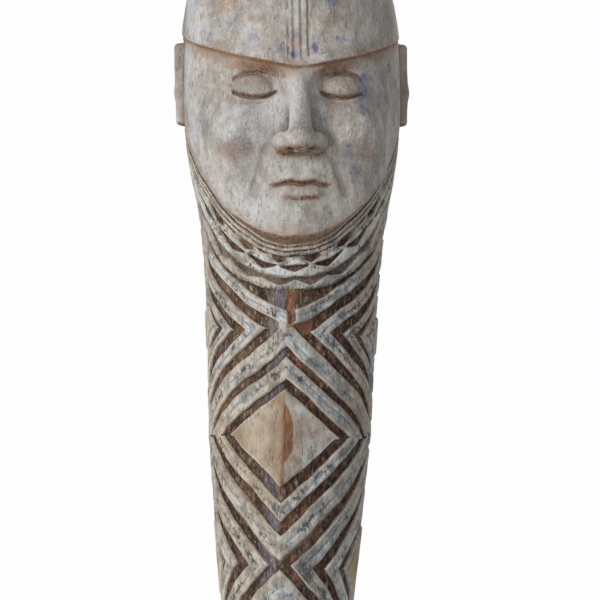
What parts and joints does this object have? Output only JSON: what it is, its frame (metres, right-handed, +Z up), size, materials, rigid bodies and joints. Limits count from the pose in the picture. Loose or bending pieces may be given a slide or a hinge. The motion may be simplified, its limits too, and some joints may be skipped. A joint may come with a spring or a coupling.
{
  "type": "carved ancestor figure",
  "caption": "Tall tapering carved wooden post with a calm human head at the top and nested diamonds cut round its shaft, bolted to a square wooden plinth.",
  "frame": {"origin": "middle of the felt's underside, where the object rests", "axes": "+Z up along the figure, -Y is the way the face looks, +X to the figure's left hand"},
  "size_m": [0.2, 0.208, 0.7575],
  "materials": {
    "carved_wood": "weathered wood under a worn chalky grey-white pigment, dark brown in the cut grooves",
    "plinth_wood": "dark stained hardwood, satin wax",
    "steel": "zinc plated steel",
    "felt": "black wool felt"
  },
  "bodies": {
    "root": {"carved_figure": "carved_wood", "plinth": "plinth_wood", "mounting_rod": "steel", "rod_washer": "steel", "rod_nut": "steel", "locating_pin": "steel", "base_felt": "felt"}
  },
  "joints": []
}
